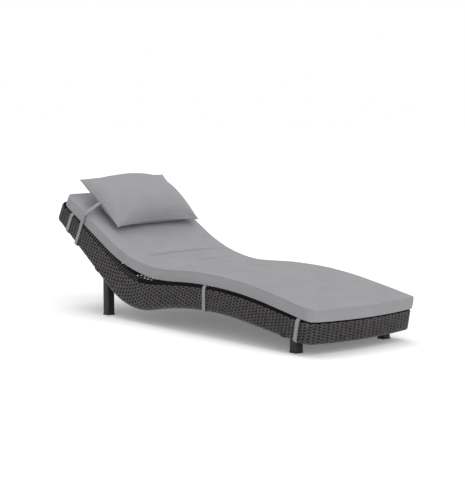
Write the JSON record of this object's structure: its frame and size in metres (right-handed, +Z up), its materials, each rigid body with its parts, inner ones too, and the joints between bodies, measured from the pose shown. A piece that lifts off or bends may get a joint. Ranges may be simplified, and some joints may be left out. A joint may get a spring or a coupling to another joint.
{
  "type": "sun lounger",
  "caption": "Wave-shaped woven-strand sun lounger on square wrapped legs, with a grey strapped mattress and a loose grey pillow.",
  "frame": {"origin": "centre of the bounding box at floor level, between the four feet", "axes": "+X along the length towards the foot end, +Y to the left of a person lying on it, +Z up"},
  "size_m": [1.9554, 0.6498, 0.6983],
  "materials": {
    "frame_tube": "matt dark powder coat",
    "strand": "dark brown-black woven flat strand, satin",
    "glide": "matt black",
    "fastener": "zinc-plated",
    "cushion_cloth": "matt mid-grey plain-weave cloth",
    "filling": "open-cell foam and fibre, hidden",
    "webbing": "grey ribbed webbing"
  },
  "bodies": {
    "lounger": {"calf_deck_tube": "frame_tube", "deck_weave": "strand", "foot_bottom_rail": "frame_tube", "foot_deck_tube": "frame_tube", "foot_end_struts": "frame_tube", "foot_end_weave": "strand", "foot_strap": "webbing", "foot_top_rail": "frame_tube", "front_left_leg": "frame_tube", "front_left_leg_glide": "glide", "front_left_leg_wrap": "strand", "front_leg_bar": "frame_tube", "front_right_leg": "frame_tube", "front_right_leg_glide": "glide", "front_right_leg_wrap": "strand", "head_bottom_rail": "frame_tube", "head_deck_tube": "frame_tube", "head_end_struts": "frame_tube", "head_end_weave": "strand", "head_strap": "webbing", "head_top_rail": "frame_tube", "knee_deck_tube": "frame_tube", "left_bottom_rail": "frame_tube", "left_side_struts": "frame_tube", "left_side_weave": "strand", "left_top_rail": "frame_tube", "leg_bolts": "fastener", "leg_nuts": "fastener", "leg_washers": "fastener", "lower_back_deck_tube": "frame_tube", "mattress_cover": "cushion_cloth", "mattress_foam": "filling", "middle_strap": "webbing", "rear_left_leg": "frame_tube", "rear_left_leg_glide": "glide", "rear_left_leg_wrap": "strand", "rear_leg_bar": "frame_tube", "rear_right_leg": "frame_tube", "rear_right_leg_glide": "glide", "rear_right_leg_wrap": "strand", "right_bottom_rail": "frame_tube", "right_side_struts": "frame_tube", "right_side_weave": "strand", "right_top_rail": "frame_tube", "seat_deck_tube": "frame_tube", "thigh_deck_tube": "frame_tube", "upper_back_deck_tube": "frame_tube"},
    "headrest": {"pillow_cover": "cushion_cloth", "pillow_filling": "filling", "pillow_strap": "webbing"}
  },
  "joints": [
    {"name": "pillow_slide", "type": "slide", "parent": "lounger", "child": "headrest", "axis": [-0.878, 0, 0.4787], "range_m": [-0.055, 0.045]}
  ]
}
